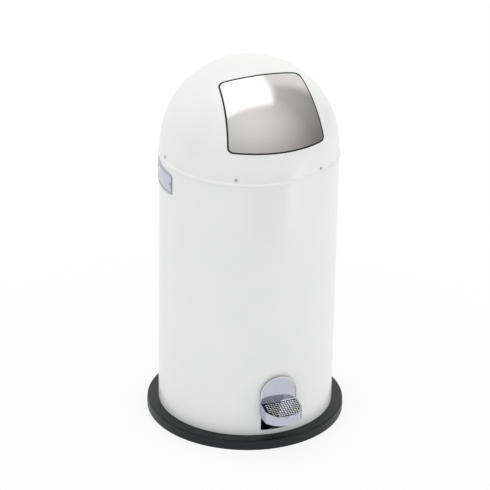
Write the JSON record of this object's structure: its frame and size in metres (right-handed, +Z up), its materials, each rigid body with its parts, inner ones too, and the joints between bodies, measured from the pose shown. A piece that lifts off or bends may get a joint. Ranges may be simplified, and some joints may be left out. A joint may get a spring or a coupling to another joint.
{
  "type": "step trash can",
  "caption": "Round step trash can with a domed lift-off hood, an inward-opening flap worked by the pedal, an inner liner with a bail, and a wide floor ring.",
  "frame": {"origin": "on the floor, on the bin's axis, at the centre of the floor ring's foot", "axes": "+Z up along the bin's axis, -Y towards the front where the pedal and flap are, +X to the right seen from the front"},
  "size_m": [0.3999, 0.4315, 0.755],
  "materials": {
    "white_enamel": "semi-gloss white powder coat",
    "black_rubber": "satin black",
    "galvanised": "galvanised sheet",
    "bright_steel": "bright drawn steel",
    "spring_steel": "wound wire",
    "pedal_chrome": "chromed",
    "flap_steel": "polished stainless steel",
    "plate_metal": "satin, bare",
    "bush_plastic": "moulded"
  },
  "bodies": {
    "bin": {"base_ring": "black_rubber", "floor_plate": "galvanised", "body_shell": "white_enamel", "body_foot": "white_enamel", "slot_sill": "white_enamel", "liner_seat_ring": "galvanised", "upper_rod_bush": "bush_plastic", "rod_guide_bracket": "galvanised", "lower_rod_bush": "bush_plastic", "name_plate": "plate_metal", "name_plate_rivets": "bright_steel", "pedal_bracket": "galvanised", "pedal_axle": "bright_steel", "pedal_axle_clips": "bright_steel", "spring_seat": "bush_plastic", "return_spring": "spring_steel", "lever_rest": "black_rubber"},
    "pedal": {"pedal_lever": "galvanised", "pedal_plate": "pedal_chrome", "pedal_plate_rim": "pedal_chrome", "pedal_tread": "pedal_chrome", "tread_pad": "pedal_chrome"},
    "lift_rod": {"lift_rod": "bright_steel", "rod_foot": "bush_plastic", "rod_cap": "bush_plastic"},
    "liner": {"liner_bucket": "galvanised", "bail_ears": "galvanised"},
    "bail": {"bail": "bright_steel", "bail_grip": "bush_plastic"},
    "hood": {"hood_shell": "white_enamel", "hood_collar": "galvanised", "hood_rivets": "white_enamel", "flap_brackets": "galvanised", "guide_arm": "galvanised"},
    "push_rod": {"push_rod": "bright_steel", "push_foot": "galvanised"},
    "flap": {"flap_panel": "flap_steel", "flap_arms": "galvanised", "flap_axle": "bright_steel", "flap_axle_clips": "bright_steel", "flap_crank": "galvanised", "flap_spring": "spring_steel", "flap_tabs": "galvanised", "flap_buffers": "black_rubber"}
  },
  "joints": [
    {"name": "pedal_hinge", "type": "hinge", "parent": "bin", "child": "pedal", "pos_m": [0, -0.105, 0.05], "axis": [1, 0, 0], "range_deg": [0, 12], "stiffness_Nm_per_rad": 1.5, "springref_deg": -28.65, "deforming": ["return_spring"]},
    {"name": "lift_rod_slide", "type": "slide", "parent": "bin", "child": "lift_rod", "axis": [0, 0, 1], "range_m": [0, 0.05666]},
    {"name": "liner_lift", "type": "slide", "parent": "bin", "child": "liner", "axis": [0, 0, 1], "range_m": [0, 0.006]},
    {"name": "bail_hinge", "type": "hinge", "parent": "liner", "child": "bail", "pos_m": [0, 0, 0.52], "axis": [-1, 0, 0], "range_deg": [0, 12]},
    {"name": "hood_lift", "type": "slide", "parent": "bin", "child": "hood", "axis": [0, 0, 1], "range_m": [0, 0.06]},
    {"name": "push_rod_slide", "type": "slide", "parent": "hood", "child": "push_rod", "axis": [0, 0, 1], "range_m": [0, 0.05666]},
    {"name": "flap_hinge", "type": "hinge", "parent": "hood", "child": "flap", "pos_m": [0, -0.022, 0.727], "axis": [1, 0, 0], "range_deg": [0, 45.01], "stiffness_Nm_per_rad": 0.25, "springref_deg": -91.67}
  ],
  "couplings": [
    {"joint": "lift_rod_slide", "follows": "pedal_hinge", "m_per_rad": 0.2696},
    {"joint": "push_rod_slide", "follows": "pedal_hinge", "m_per_rad": 0.2696},
    {"joint": "flap_hinge", "follows": "pedal_hinge", "ratio": 3.75}
  ]
}
